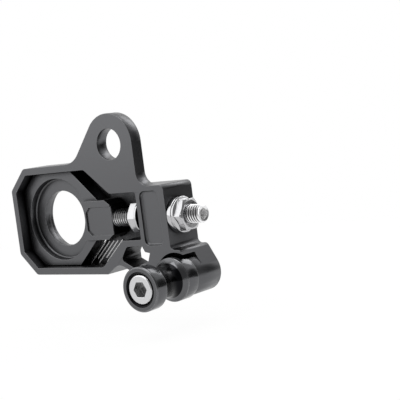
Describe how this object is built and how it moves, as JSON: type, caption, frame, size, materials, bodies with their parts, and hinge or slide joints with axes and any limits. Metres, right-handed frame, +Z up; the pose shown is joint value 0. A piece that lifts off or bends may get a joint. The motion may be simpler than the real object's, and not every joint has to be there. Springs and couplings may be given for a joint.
{
  "type": "motorcycle chain adjuster",
  "caption": "Black anodised swingarm end plate with a screw-adjusted sliding axle block, a bracket ear and a stand spool, for setting chain tension.",
  "frame": {"origin": "on the axle bore's axis, in the plane where the axle block slides on the frame's floor", "axes": "+X rearwards along the adjuster stud, +Y inwards to the swingarm, +Z up"},
  "size_m": [0.1082, 0.0434, 0.0819],
  "materials": {
    "black_anodised": "black anodised, satin",
    "bright_steel": "bright stainless steel",
    "bare_aluminium": "bare engraved aluminium"
  },
  "bodies": {
    "root": {"frame": "black_anodised", "outer_washer": "bright_steel", "spool": "black_anodised", "spool_screw": "bright_steel"},
    "carrier": {"axle_block": "black_anodised", "adjuster_stud": "bright_steel"},
    "outer_nut": {"outer_flange_nut": "bright_steel"},
    "inner_nut": {"inner_flange_nut": "bright_steel"}
  },
  "joints": [
    {"name": "carrier_slide", "type": "slide", "parent": "root", "child": "carrier", "axis": [1, 0, 0], "range_m": [0, 0.01]},
    {"name": "outer_nut_spin", "type": "hinge", "parent": "root", "child": "outer_nut", "pos_m": [0.0743, -0.0044, -0.001], "axis": [-1, 0, 0], "range_deg": [0, 2881]},
    {"name": "inner_nut_spin", "type": "hinge", "parent": "root", "child": "inner_nut", "pos_m": [0.049, -0.0044, -0.001], "axis": [-1, 0, 0], "range_deg": [0, 2881]}
  ],
  "couplings": [
    {"joint": "outer_nut_spin", "follows": "carrier_slide", "rad_per_m": 5026.5},
    {"joint": "inner_nut_spin", "follows": "carrier_slide", "rad_per_m": 5026.5}
  ]
}
